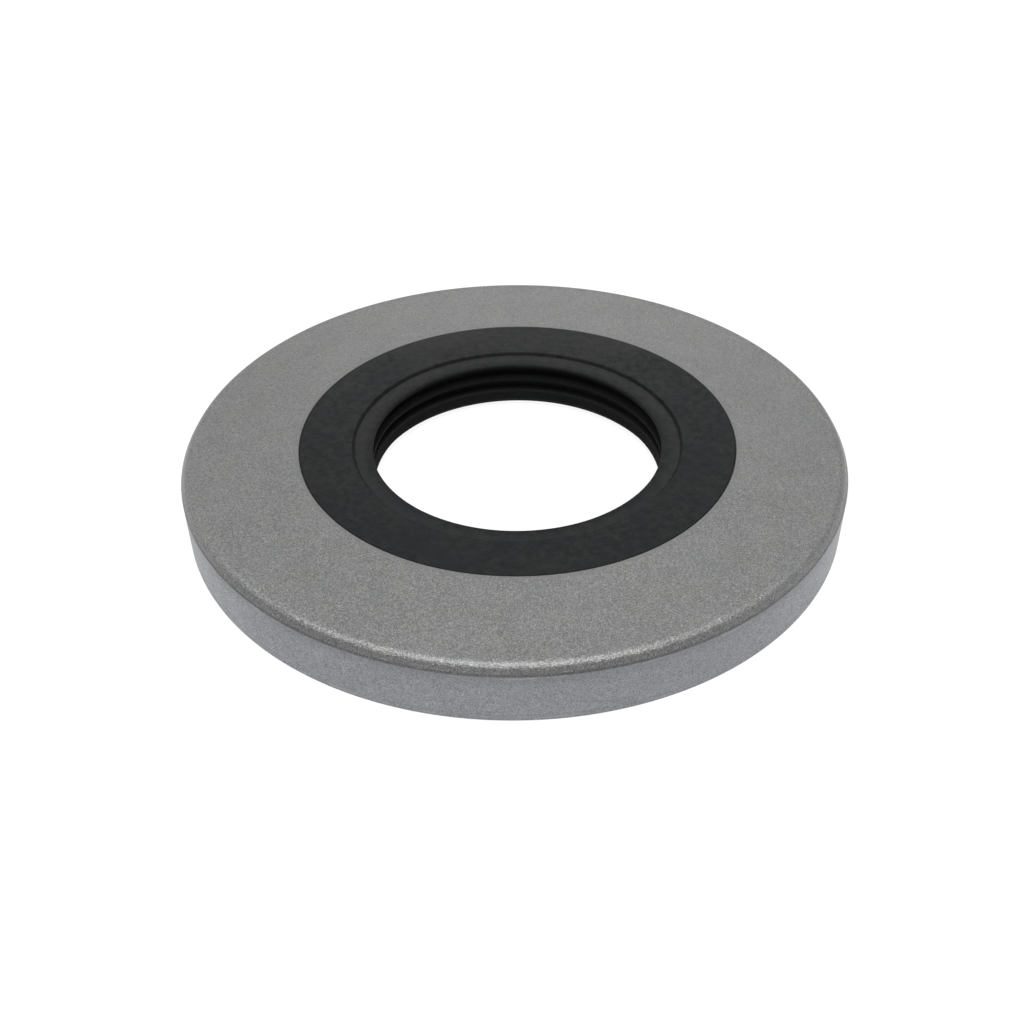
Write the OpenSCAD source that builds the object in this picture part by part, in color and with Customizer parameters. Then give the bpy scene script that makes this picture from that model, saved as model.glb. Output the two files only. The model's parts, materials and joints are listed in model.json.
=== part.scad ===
// Rotary shaft seal for a gimbal bearing: a shallow pressed steel case, a rubber ring
// moulded onto its inner edge with three lips, and a coiled spring that closes the main lip.
// The flat face is up, the open side is down, and the seal rests on the rim of its case.

/* [Case] */
// Outside diameter of the case, ground to fit its housing
case_od = 76.2; // [68:0.1:90]
// Height of the case from its rim to its flat face
case_h = 7; // [6.6:0.1:9]
// Thickness of the pressed steel sheet
sheet_t = 1.2; // [1:0.05:1.4]
// Outside radius of the bend between face and wall, as pressed
bend_r = 2.2; // [1.7:0.05:2.6]
// Steel ground off the outside of the wall after pressing
ground_off = 0.33; // [0.1:0.01:0.5]
// Small bevel around the foot of the wall
foot_bevel = 0.15; // [0.05:0.05:0.4]

/* [Rubber on the steel] */
// Outside diameter of the rubber ring that shows in the flat face
face_d = 50.4; // [48:0.1:54]
// Thickness of the rubber over the lowered inner part of the steel
cover_t = 0.9; // [0.7:0.05:1.1]
// Slope of the pressed step down to the lowered part, from level
step_angle = 60; // [45:1:75]
// Width of the rubber between the steel's inner edge and the recesses
core_w = 1.7; // [1.3:0.1:2.2]
// Thickness of the rubber under the steel
under_t = 0.6; // [0.4:0.05:0.8]
// How far the rubber reaches out under the steel
under_w = 2.9; // [2:0.1:3.4]

/* [Lips] */
// Diameter of the shaft that the seal runs on
shaft_d = 35; // [33:0.1:36]
// How much smaller than the shaft the free lips are, on the radius
lip_squeeze = 0.6; // [0.3:0.05:0.8]
// Depth of the recesses between the lips
recess_d = 1; // [0.7:0.05:1.2]
// Width of the small flat on the tip of each lip
tip_w = 0.26; // [0.15:0.01:0.35]
// Drop from the flat face to the ring around the shaft opening
ring_drop = 0.58; // [0.4:0.02:0.8]
// Width of the lowered ring around the shaft opening, from the lip tips
ring_w = 1.95; // [1.7:0.05:2.3]
// Slope of the step down to the lowered ring, from upright
ring_draft = 23; // [10:1:30]
// Radius of the rounded edge of the shaft opening
rim_r = 0.4; // [0.25:0.05:0.5]
// Distance from the tip of the upper dust lip down to the tip of the middle one
lip_pitch = 2.26; // [2:0.02:2.5]
// Drop of the underside of a dust lip, from its tip to its root
lip_under = 0.4; // [0.2:0.05:0.5]
// Rise of the upper side of the middle lip, from its tip to its root
lip_over = 0.3; // [0.15:0.05:0.4]
// Height of the main lip's cone, from its tip up to its shoulder
cone_h = 1.05; // [0.8:0.05:1.2]
// Slope of the main lip's cone, from upright
cone_angle = 13; // [8:1:20]
// Height from the rim of the case up to the foot of the main lip
lip_clear = 0.35; // [0.2:0.05:0.6]
// Slope of the underside of the main lip, from upright
nose_angle = 45; // [35:1:50]
// Width of the slope under the main lip
nose_w = 0.6; // [0.4:0.05:0.7]
// Thickness of the flexible neck that carries the main lip
neck_t = 1.1; // [0.9:0.05:1.3]
// Radius of the curve from the neck to the rubber under the steel
neck_fillet = 0.5; // [0.3:0.05:0.6]

/* [Spring] */
// Outside diameter of the coils of the spring
coil_d = 1.8; // [1.4:0.05:2]
// Clearance between the spring and its groove
groove_gap = 0.02; // [0.01:0.01:0.05]
// Rubber between the spring groove and the underside of the main lip
groove_floor = 0.4; // [0.3:0.05:0.6]
// Rubber between the spring groove and the recess behind the main lip
groove_wall = 0.4; // [0.3:0.05:0.6]
// How far the groove closes around the spring past its middle
groove_hook = 0.2; // [0.1:0.05:0.3]
// Rubber above the spring groove
hook_t = 0.25; // [0.15:0.05:0.4]

/* [Hidden] */
$fn = 180;

// Radii of the case
case_r = case_od / 2;
bend_x = case_r + ground_off - bend_r;
wall_x = case_r + ground_off - sheet_t;
bend_z = case_h - bend_r;

// The pressed step and the lowered part inside it
face_r = face_d / 2;
step_run = cover_t / tan(step_angle);
step_shift = sheet_t * tan(step_angle / 2);
low_x = face_r - step_run;
low_z = case_h - cover_t;
low_under_z = low_z - sheet_t;

// Radii of the lips
lip_r = shaft_d / 2 - lip_squeeze;
root_r = lip_r + recess_d;
steel_r = root_r + core_w;
ring_r = lip_r + ring_w;

// Heights of the lips
ring_z = case_h - ring_drop;
ring_run = ring_drop * tan(ring_draft);
main_z = lip_clear + nose_w / tan(nose_angle);
shoulder_z = main_z + tip_w + cone_h;
shoulder_x = lip_r + cone_h * tan(cone_angle);
top_z = ring_z - rim_r - tip_w;
mid_z = top_z - lip_pitch;

// The spring and the neck above it
groove_r = coil_d / 2 + groove_gap;
spring_x = root_r + groove_wall + groove_r;
spring_z = lip_clear + groove_floor + groove_r;
hook_x = spring_x + groove_hook;
hook_bevel = groove_floor / 2;
hook_top_z = spring_z + groove_r + hook_t;
neck_x = root_r + neck_t;
under_z = low_under_z - under_t;
under_x = steel_r + under_w;

// Points of an arc around c, from angle a0 to angle a1
function arc(c, r, a0, a1, n = 8) =
    [for (i = [0 : n]) let (a = a0 + (a1 - a0) * i / n) c + r * [cos(a), sin(a)]];

// The quarter bend between face and wall, as pressed
module bend_section() {
    translate([bend_x, bend_z])
        intersection() {
            difference() {
                circle(bend_r);
                circle(bend_r - sheet_t);
            }
            square(bend_r);
        }
}

// The face, the pressed step and the lowered part that carries the rubber
module face_section() {
    polygon([
        [bend_x, case_h],
        [face_r, case_h],
        [low_x, low_z],
        [steel_r, low_z],
        [steel_r, low_under_z],
        [low_x + step_shift, low_under_z],
        [face_r + step_shift, case_h - sheet_t],
        [bend_x, case_h - sheet_t],
    ]);
}

// The space the finished case keeps to, once its wall is ground and its foot bevelled
module ground_section() {
    polygon([
        [0, 0],
        [case_r - foot_bevel, 0],
        [case_r, foot_bevel],
        [case_r, case_h],
        [0, case_h],
    ]);
}

module case_section() {
    intersection() {
        union() {
            face_section();
            bend_section();
            translate([wall_x, 0])
                square([sheet_t, bend_z]);
        }
        ground_section();
    }
}

// Outline of the rubber, running from the face over the lips to the neck
module lip_section() {
    difference() {
        polygon(concat(
            [
                [face_r, case_h],
                [ring_r, case_h],
                [ring_r - ring_run, ring_z],
            ],
            arc([lip_r + rim_r, ring_z - rim_r], rim_r, 90, 180),
            [
                [lip_r, top_z],
                [root_r, top_z - lip_under],
                [root_r, mid_z + tip_w + lip_over],
                [lip_r, mid_z + tip_w],
                [lip_r, mid_z],
                [root_r, mid_z - lip_under],
                [root_r, shoulder_z + lip_over / 2],
                [shoulder_x, shoulder_z],
                [lip_r, main_z + tip_w],
                [lip_r, main_z],
                [lip_r + nose_w, lip_clear],
                [hook_x - hook_bevel, lip_clear],
                [hook_x, lip_clear + hook_bevel],
                [hook_x, hook_top_z],
            ],
            arc([neck_x + neck_fillet, under_z - neck_fillet], neck_fillet, 180, 90),
            [
                [under_x - under_t / 2, under_z],
                [under_x, low_under_z],
                [low_x, low_z],
            ]
        ));
        case_section();
        translate([spring_x, spring_z])
            circle(groove_r);
    }
}

// Pressed steel cup with a ground outside wall
module steel_case() {
    color("#8b8c90")
        rotate_extrude()
            case_section();
}

// Rubber moulded onto the steel: face ring, two dust lips and the main lip
module rubber_lips() {
    color("#2f3031")
        rotate_extrude()
            lip_section();
}

// Coiled spring joined into a ring, drawn as the ring its coils fill
module garter_spring() {
    color("#9c9c98")
        rotate_extrude()
            translate([spring_x, spring_z])
                circle(coil_d / 2);
}

steel_case();
rubber_lips();
garter_spring();
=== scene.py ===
"""Looks of a gimbal bearing seal.

The pressed steel case and the moulded rubber are surfaces of revolution with rounded
edges, and the garter spring is a wound wire. Each takes its place and its main sizes
from the solids of the frame.
"""

import json
import logging
import math
from dataclasses import dataclass
from enum import Enum
from typing import Mapping, Union

import bpy
import numpy as np
from mathutils import Matrix, Vector


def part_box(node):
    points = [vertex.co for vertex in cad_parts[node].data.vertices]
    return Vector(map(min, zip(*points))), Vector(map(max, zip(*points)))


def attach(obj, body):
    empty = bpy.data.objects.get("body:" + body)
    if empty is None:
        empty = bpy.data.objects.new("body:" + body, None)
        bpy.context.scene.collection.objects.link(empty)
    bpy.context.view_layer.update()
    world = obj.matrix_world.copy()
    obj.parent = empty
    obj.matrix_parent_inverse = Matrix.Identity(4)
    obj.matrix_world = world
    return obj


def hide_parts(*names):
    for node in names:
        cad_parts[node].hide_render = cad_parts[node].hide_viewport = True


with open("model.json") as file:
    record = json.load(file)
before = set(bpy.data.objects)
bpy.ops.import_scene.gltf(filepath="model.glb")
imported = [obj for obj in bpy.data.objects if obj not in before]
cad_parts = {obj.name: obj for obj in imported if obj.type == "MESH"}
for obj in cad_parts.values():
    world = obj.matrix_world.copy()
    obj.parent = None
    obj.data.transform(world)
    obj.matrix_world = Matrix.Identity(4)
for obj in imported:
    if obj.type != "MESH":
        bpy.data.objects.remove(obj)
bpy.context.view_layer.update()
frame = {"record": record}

BODY = "root"
MM = 0.001

log = logging.getLogger("seal")

Number = Union[int, float]
Colour = tuple[float, float, float]
Pair = tuple[float, float]


class Node(Enum):
    """The solids of the frame."""

    CASE = "steel_case"
    RUBBER = "rubber_lips"
    SPRING = "garter_spring"


class Slot(Enum):
    """The material slots of the record."""

    CASE = "case_steel"
    RUBBER = "seal_rubber"
    SPRING = "spring_steel"


# Node networks


@dataclass(frozen=True)
class Noise:
    """A noise pattern, about 0.5 on average.

    Attributes:
        size: Size of its lumps in metres.
        detail: Number of finer layers.
        rough: Strength of the finer layers.
        seed: Place in the noise's fourth dimension, which picks another pattern.
    """

    size: float
    detail: float = 2.0
    rough: float = 0.5
    seed: float = 0.0


class Network:
    """The node network of a material or of the world."""

    def __init__(self, owner: bpy.types.ID) -> None:
        """Start with an empty network.

        Args:
            owner: The material or world that it belongs to.
        """
        owner.use_nodes = True
        self.owner = owner
        self.tree = owner.node_tree
        self.tree.nodes.clear()

    def node(
        self,
        kind: str,
        settings: Mapping[str, object] | None = None,
        inputs: Mapping[Union[str, int], object] | None = None,
        output: Union[str, int] = 0,
    ) -> "Signal":
        """Add any node.

        Args:
            kind: The node's type.
            settings: Properties of the node, set before its sockets.
            inputs: Values or signals of its sockets, by name or number.
            output: Name or number of the socket that is handed back.

        Returns:
            The chosen output as a signal, with no socket where the node has no outputs.
        """
        made = self.tree.nodes.new(kind)
        for key, value in (settings or {}).items():
            setattr(made, key, value)
        for key, value in (inputs or {}).items():
            if isinstance(value, Signal):
                self.tree.links.new(value.socket, made.inputs[key])
            else:
                made.inputs[key].default_value = value
        return Signal(self, made.outputs[output] if made.outputs else None)

    def math(self, operation: str, *terms: Union["Signal", Number]) -> "Signal":
        """Add one Math node.

        Args:
            operation: The node's operation.
            terms: Its values or signals, in order.

        Returns:
            The result.
        """
        return self.node("ShaderNodeMath", {"operation": operation}, dict(enumerate(terms)))

    def split(self, vector: "Signal") -> tuple["Signal", "Signal", "Signal"]:
        """Split a vector into its three numbers.

        Args:
            vector: The vector.

        Returns:
            Its x, y and z.
        """
        x = self.node("ShaderNodeSeparateXYZ", inputs={0: vector})
        return x, x.beside(1), x.beside(2)

    def join(self, x: object, y: object, z: object) -> "Signal":
        """Join three numbers into a vector.

        Args:
            x: First number or signal.
            y: Second number or signal.
            z: Third number or signal.

        Returns:
            The vector.
        """
        return self.node("ShaderNodeCombineXYZ", inputs={0: x, 1: y, 2: z})

    def point(self) -> "Point":
        """Return where the shaded point lies on the object."""
        place = self.node("ShaderNodeTexCoord", output="Object")
        return Point(place, *self.split(place))

    def noise(self, where: "Signal", pattern: Noise) -> "Signal":
        """Add a noise.

        Args:
            where: Position in metres.
            pattern: The pattern.

        Returns:
            Its level.
        """
        inputs = {
            "Vector": where,
            "Scale": 1.0 / pattern.size,
            "Detail": pattern.detail,
            "Roughness": pattern.rough,
            "W": pattern.seed,
        }
        return self.node("ShaderNodeTexNoise", {"noise_dimensions": "4D"}, inputs)

    def mix(self, factor: object, first: object, second: object) -> "Signal":
        """Mix two colours.

        Args:
            factor: 0 gives the first, 1 the second.
            first: First colour or signal.
            second: Second colour or signal.

        Returns:
            The mixed colour.
        """
        return self.node(
            "ShaderNodeMix",
            {"data_type": "RGBA", "clamp_factor": True},
            {0: factor, 6: opaque(first), 7: opaque(second)},
            output=2,
        )

    def scaled(self, colour: "Signal", factor: "Signal") -> "Signal":
        """Multiply a colour by a number.

        Args:
            colour: The colour.
            factor: The number.

        Returns:
            The darker or lighter colour.
        """
        return self.node("ShaderNodeVectorMath", {"operation": "SCALE"}, {0: colour, "Scale": factor})

    def band(self, value: "Signal", low: float, high: float, soft: float) -> "Signal":
        """Return 1 between two values and 0 outside, with soft sides.

        Args:
            value: What is tested.
            low: Lower end.
            high: Upper end.
            soft: Width of each soft side, outside the band.

        Returns:
            The mask.
        """
        return value.step(low - soft, low) * value.step(high + soft, high)

    def bump(self, height: "Signal", depth: float, strength: float, under: object = None) -> "Signal":
        """Turn a height into a bumped normal.

        Args:
            height: The height, from 0 to 1.
            depth: What a height of 1 stands for, in metres.
            strength: How much of it shows.
            under: A normal that this one is laid over.

        Returns:
            The normal.
        """
        inputs = {"Height": height, "Distance": depth, "Strength": strength}
        if under is not None:
            inputs["Normal"] = under
        return self.node("ShaderNodeBump", inputs=inputs)

    def surface(self, values: Mapping[str, object]) -> bpy.types.Material:
        """Finish a material with one principled surface.

        Args:
            values: Values or signals of its sockets.

        Returns:
            The material.
        """
        shader = self.node("ShaderNodeBsdfPrincipled", inputs=values)
        self.node("ShaderNodeOutputMaterial", inputs={"Surface": shader})
        return self.owner


@dataclass(frozen=True)
class Signal:
    """One output socket, which takes part in Python arithmetic.

    Attributes:
        net: The network that it belongs to.
        socket: The socket, or None for a node that has no outputs.
    """

    net: Network
    socket: object

    def __add__(self, other: object) -> "Signal":
        """Return self + other."""
        return self.net.math("ADD", self, other)

    def __radd__(self, other: Number) -> "Signal":
        """Return other + self."""
        return self.net.math("ADD", other, self)

    def __sub__(self, other: object) -> "Signal":
        """Return self - other."""
        return self.net.math("SUBTRACT", self, other)

    def __rsub__(self, other: Number) -> "Signal":
        """Return other - self."""
        return self.net.math("SUBTRACT", other, self)

    def __mul__(self, other: object) -> "Signal":
        """Return self times other."""
        return self.net.math("MULTIPLY", self, other)

    def __rmul__(self, other: Number) -> "Signal":
        """Return other times self."""
        return self.net.math("MULTIPLY", other, self)

    def root(self) -> "Signal":
        """Return the square root."""
        return self.net.math("SQRT", self)

    def beside(self, output: Union[str, int]) -> "Signal":
        """Return another output of the same node, by name or number."""
        return Signal(self.net, self.socket.node.outputs[output])

    def step(self, low: float, high: float) -> "Signal":
        """Return 0 below low and 1 above high, with a smooth rise between.

        Args:
            low: Where the rise starts; above high, the step falls instead.
            high: Where it ends.

        Returns:
            The step.
        """
        first, last = (low, high) if low < high else (high, low)
        rise = self.net.node(
            "ShaderNodeMapRange",
            {"interpolation_type": "SMOOTHSTEP"},
            {"Value": self, "From Min": first, "From Max": last},
        )
        return rise if low < high else 1 - rise


@dataclass(frozen=True)
class Point:
    """Where a shaded point lies.

    Attributes:
        place: Its position.
        x: Its first coordinate.
        y: Its second coordinate.
        z: Its height.
    """

    place: Signal
    x: Signal
    y: Signal
    z: Signal

    def radius(self, centre: Pair = (0.0, 0.0)) -> Signal:
        """Return its distance from an upright axis.

        Args:
            centre: Where the axis stands.

        Returns:
            The distance.
        """
        x, y = self.x - centre[0], self.y - centre[1]
        return (x * x + y * y).root()


@dataclass(frozen=True)
class Tint:
    """A colour that is laid over another.

    Attributes:
        colour: The colour.
        amount: How much of it shows at most.
        span: Levels of a noise between which it comes to show; it follows low
            levels where the first is the greater.
    """

    colour: Colour
    amount: float = 1.0
    span: Pair = (0.0, 1.0)

    def laid(self, base: object, mask: Signal) -> Signal:
        """Lay the colour over another where a mask is 1."""
        return mask.net.mix(mask * self.amount, base, self.colour)

    def clouded(self, base: object, noise: Signal, mask: Union[Signal, Number] = 1) -> Signal:
        """Lay the colour over another where a noise reaches its span, inside a mask."""
        return self.laid(base, noise.step(*self.span) * mask)


def opaque(colour: object) -> object:
    """Give a colour its fourth number.

    Args:
        colour: Three numbers, or a signal.

    Returns:
        Four numbers, or the signal.
    """
    return colour if isinstance(colour, Signal) else (*colour, 1.0)


# Finishes

# Dull steel of the dark grinding lines, and the colour of the painted shade on the wall and along its
# foot.
DULL_STEEL_AND_SHADE: Colour = (0.13, 0.132, 0.14)
# Grey bloom of the rubber, and the colour of the painted highlight on the main lip.
GREY_BLOOM_AND_HIGHLIGHT: Colour = (0.0156, 0.0161, 0.0166)
# Near black of the rubber's dark outer edge, and of the painted shade in the opening and at the step.
DEEP_BLACK: Colour = (0.0040, 0.0044, 0.0050)
# Grey of the rubbed marks, and of the painted sheen and painted light on the rubber.
WORN_GREY_AND_SHEEN: Colour = (0.0265, 0.0270, 0.0262)


@dataclass(frozen=True)
class CaseFinish:
    """Blasted grey steel with a ground wall.

    Attributes:
        face: Colour of the blasted steel.
        warm: Its warm clouds.
        green: Its greenish clouds.
        cool: Its bluish clouds.
        ground: Colour of the ground wall.
        pale: Paler clouds of the wall.
        clean: Clean band around the rubber.
        joint: Dark joint at the rubber.
        painted_crease_shade: Painted shade along the line above the wall.
        shade: Painted shade on the wall, just below that line.
        bright_line: Bright grinding lines.
        dark_line: Dark grinding lines.
        painted_foot_shade: Painted shade along the foot.
        cloud: Broad light and dark clouds.
        hue: Noise of the warm and the paler clouds.
        tone: Noise of the greenish and bluish clouds.
        spot: Small spots.
        grain: Grain of the steel.
        fine: Finer grain.
        lump: Bumps between the grains.
        ragged: Wander of the line above the wall.
        rings: Marks of the grinding wheel, by height.
        broken: Where these marks break off.
        pits: Depth of the grain in metres.
        metallic: Share of bare metal.
        roughness: Roughness between the grains.
    """

    face: Colour = (0.208, 0.210, 0.208)
    warm: Tint = Tint((0.226, 0.217, 0.200), 0.25, (0.48, 0.66))
    green: Tint = Tint((0.193, 0.207, 0.197), 0.30, (0.50, 0.66))
    cool: Tint = Tint((0.202, 0.211, 0.223), 0.20, (0.46, 0.32))
    ground: Colour = (0.244, 0.251, 0.269)
    pale: Tint = Tint((0.255, 0.258, 0.266), 0.40, (0.45, 0.66))
    clean: Tint = Tint((0.189, 0.195, 0.188), 0.45)
    joint: Tint = Tint((0.02, 0.02, 0.02), 0.85)
    # Painted shade along the line above the ground wall.
    painted_crease_shade: Tint = Tint((0.10, 0.101, 0.10))
    # Painted shade on the wall just below that line.
    shade: Tint = Tint(DULL_STEEL_AND_SHADE, 0.33)
    bright_line: Tint = Tint((0.42, 0.425, 0.44), 1.0, (0.50, 0.62))
    dark_line: Tint = Tint(DULL_STEEL_AND_SHADE, 1.0, (0.50, 0.38))
    # Painted shade along the foot.
    painted_foot_shade: Tint = Tint(DULL_STEEL_AND_SHADE, 0.5)
    cloud: Noise = Noise(4.0 * MM, detail=3.0, rough=0.6, seed=7.0)
    hue: Noise = Noise(2.6 * MM, seed=11.0)
    tone: Noise = Noise(3.4 * MM, seed=12.0)
    spot: Noise = Noise(0.55 * MM, seed=15.0)
    grain: Noise = Noise(0.15 * MM, rough=0.6)
    fine: Noise = Noise(0.09 * MM, detail=1.0, seed=3.0)
    lump: Noise = Noise(0.30 * MM, detail=0.0, seed=17.0)
    ragged: Noise = Noise(0.8 * MM, seed=21.0)
    rings: Noise = Noise(0.075 * MM, rough=0.7, seed=2.0)
    broken: Noise = Noise(3.2 * MM, seed=5.0)
    pits: float = 0.08 * MM
    metallic: float = 0.85
    roughness: float = 0.32

    def material(self, case: "SteelCase") -> bpy.types.Material:
        """Build the finish on a case."""
        return CaseSkin(self, case).material()


class CaseSkin:
    """The network that lays the steel's finish on a case."""

    def __init__(self, finish: CaseFinish, case: "SteelCase") -> None:
        """Work out what the colour and the relief share.

        Args:
            finish: The finish.
            case: The case, for the heights and radii where its zones meet.
        """
        skin_start, skin_full = 0.30 * MM, 0.12 * MM
        wander, over, below = 0.16 * MM, 0.03 * MM, 0.04 * MM
        foot_top, foot_full = 1.5 * MM, 0.5 * MM
        bend_start, bend_end, bend_soft = 0.45 * MM, 0.95 * MM, 0.35 * MM
        grain_share, fine_share = 0.6, 0.4
        self.finish, self.case = finish, case
        self.net = net = Network(bpy.data.materials.new("blasted and ground steel"))
        self.at = at = net.point()
        radius = at.radius()
        self.outside = radius.step(case.radius - skin_start, case.radius - skin_full)
        line = at.z + (net.noise(at.place, finish.ragged) - 0.5) * wander
        self.wall = self.outside * line.step(case.ground_top + over, case.ground_top - below)
        self.foot = at.z.step(foot_top, foot_full)
        self.bend = net.band(radius, case.bend_start + bend_start, case.bend_start + bend_end, bend_soft)
        self.grain = net.noise(at.place, finish.grain)
        self.fine = net.noise(at.place, finish.fine)
        self.coarse = self.grain * grain_share + self.fine * fine_share
        self.spot = net.noise(at.place, finish.spot)
        self.rings = net.noise(net.join(0.0, 0.0, at.z), finish.rings)

    def material(self) -> bpy.types.Material:
        """Build the material.

        Returns:
            The material.
        """
        grain_gloss, bend_gloss, wall_gloss = 0.14, 0.01, 0.02
        gloss = self.grain * grain_gloss + self.bend * bend_gloss + self.wall * wall_gloss
        base = self.net.scaled(self.clouds(), self.speckle_and_painted_glints())
        return self.net.surface(
            {
                "Base Color": self.scored(self.edged_and_shaded(base)),
                "Metallic": self.finish.metallic,
                "Roughness": self.finish.roughness + gloss,
                "Normal": self.relief(),
            }
        )

    def clouds(self) -> Signal:
        """Colour the blasted steel and the ground wall with their clouds.

        Returns:
            The colour.
        """
        finish, place = self.finish, self.at.place
        hue, tone = self.net.noise(place, finish.hue), self.net.noise(place, finish.tone)
        blasted = finish.warm.clouded(finish.face, hue)
        blasted = finish.green.clouded(blasted, tone)
        blasted = finish.cool.clouded(blasted, tone)
        return self.net.mix(self.wall, blasted, finish.pale.clouded(finish.ground, hue))

    def speckle_and_painted_glints(self) -> Signal:
        """Work out how much lighter or darker clouds, spots and grain make the steel.

        The factor is 1 plus each noise about its average times its contrast. The grain
        has more contrast at the front, and on the wall at its two sides: the steel's own
        grain with painted sparkle where the lamps catch it. At the front the highest
        grains are lightened into painted glints.

        Returns:
            The factor of the colour.
        """
        back_y, front_y = 18 * MM, -22 * MM
        side_start, side_full = 12 * MM, 34 * MM
        highest = (0.60, 0.74)
        at, wall = self.at, self.wall
        front = at.y.step(back_y, front_y)
        sides = (at.x * at.x).step(side_start**2, side_full**2)
        cloud_contrast = 0.24
        spot_contrast = 0.24 + wall * 0.20
        # Painted sparkle: more grain contrast at the front and at the wall's two sides, where the lamps
        # catch it.
        grain_contrast = 2.70 + front * 0.60 + wall * (sides * 2.6 - 0.32)
        painted_glint_strength = 0.72 - wall * 0.48
        # Painted glints: the highest grains at the front are lightened.
        painted_glint = self.fine.step(*highest) * front * painted_glint_strength
        clouds = (self.net.noise(at.place, self.finish.cloud) - 0.5) * cloud_contrast
        spots = (self.spot - 0.5) * spot_contrast
        return (self.coarse - 0.5) * grain_contrast + clouds + spots + painted_glint + 1

    def edged_and_shaded(self, base: Signal) -> Signal:
        """Draw the joint at the rubber with its clean band, painted shade along the line above the wall,
        and painted shade on the wall below it.

        Args:
            base: The colour so far.

        Returns:
            The colour.
        """
        clean_width, clean_soft = 0.45 * MM, 0.12 * MM
        joint_start, joint_full = 0.10 * MM, 0.02 * MM
        joint_depth, joint_top = 0.3 * MM, 0.1 * MM
        crease_height, crease_soft = 0.16 * MM, 0.06 * MM
        shade_depth = 1.6 * MM
        crease_least, crease_spots = 0.2, 0.5
        finish, net, z = self.finish, self.net, self.at.z
        edge, height, top = self.case.face_radius, self.case.height, self.case.ground_top
        radius = self.at.radius(self.case.moulding)
        base = finish.clean.laid(base, net.band(radius, edge, edge + clean_width, clean_soft))
        joint = radius.step(edge + joint_start, edge + joint_full)
        base = finish.joint.laid(base, joint * z.step(height - joint_depth, height - joint_top))
        # Painted shade along the line above the ground wall.
        painted_crease_shade = self.outside * net.band(z, top, top + crease_height, crease_soft)
        base = finish.painted_crease_shade.laid(base, painted_crease_shade * (self.spot * crease_spots + crease_least))
        # Painted shade on the wall just below that line.
        return finish.shade.laid(base, self.wall * z.step(top - shade_depth, top))

    def scored(self, base: Signal) -> Signal:
        """Draw the grinding lines, most of them near the foot and the top of the wall, and painted shade
        along the foot.

        Args:
            base: The colour so far.

        Returns:
            The colour.
        """
        flatness = 8
        top_start, top_full = 0.55 * MM, 0.15 * MM
        line_top, line_full = 0.26 * MM, 0.10 * MM
        bright_breaks, dark_breaks = (0.50, 0.60), (0.42, 0.56)
        most, bright_least, dark_least = 0.6, 0.08, 0.05
        finish, at, wall = self.finish, self.at, self.wall
        high = at.z.step(self.case.ground_top - top_start, self.case.ground_top - top_full)
        broken = self.net.noise(self.net.join(at.x, at.y, at.z * flatness), finish.broken)
        bright = wall * broken.step(*bright_breaks) * ((self.foot + high) * most + bright_least)
        dark = wall * broken.step(*dark_breaks) * (self.foot * most + dark_least)
        base = finish.bright_line.clouded(base, self.rings, bright)
        base = finish.dark_line.clouded(base, self.rings, dark)
        # Painted shade along the foot.
        return finish.painted_foot_shade.laid(base, self.outside * at.z.step(line_top, line_full))

    def relief(self) -> Signal:
        """Bump the steel with its grain, deeper on the bend, and the wall with its rings.

        Returns:
            The normal.
        """
        lump_share, deeper = 0.5, 0.35
        ring_share, foot_share = 0.1, 0.3
        lump = self.net.noise(self.at.place, self.finish.lump)
        blasted = (self.coarse + lump * lump_share) * (self.bend * deeper + 1)
        ground = self.rings * (self.foot * foot_share + ring_share) + self.coarse
        bumps = [self.net.bump(height, self.finish.pits, 1.0) for height in (blasted, ground)]
        inputs = {0: self.wall, 4: bumps[0], 5: bumps[1]}
        return self.net.node("ShaderNodeMix", {"data_type": "VECTOR"}, inputs, output=1)


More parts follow.
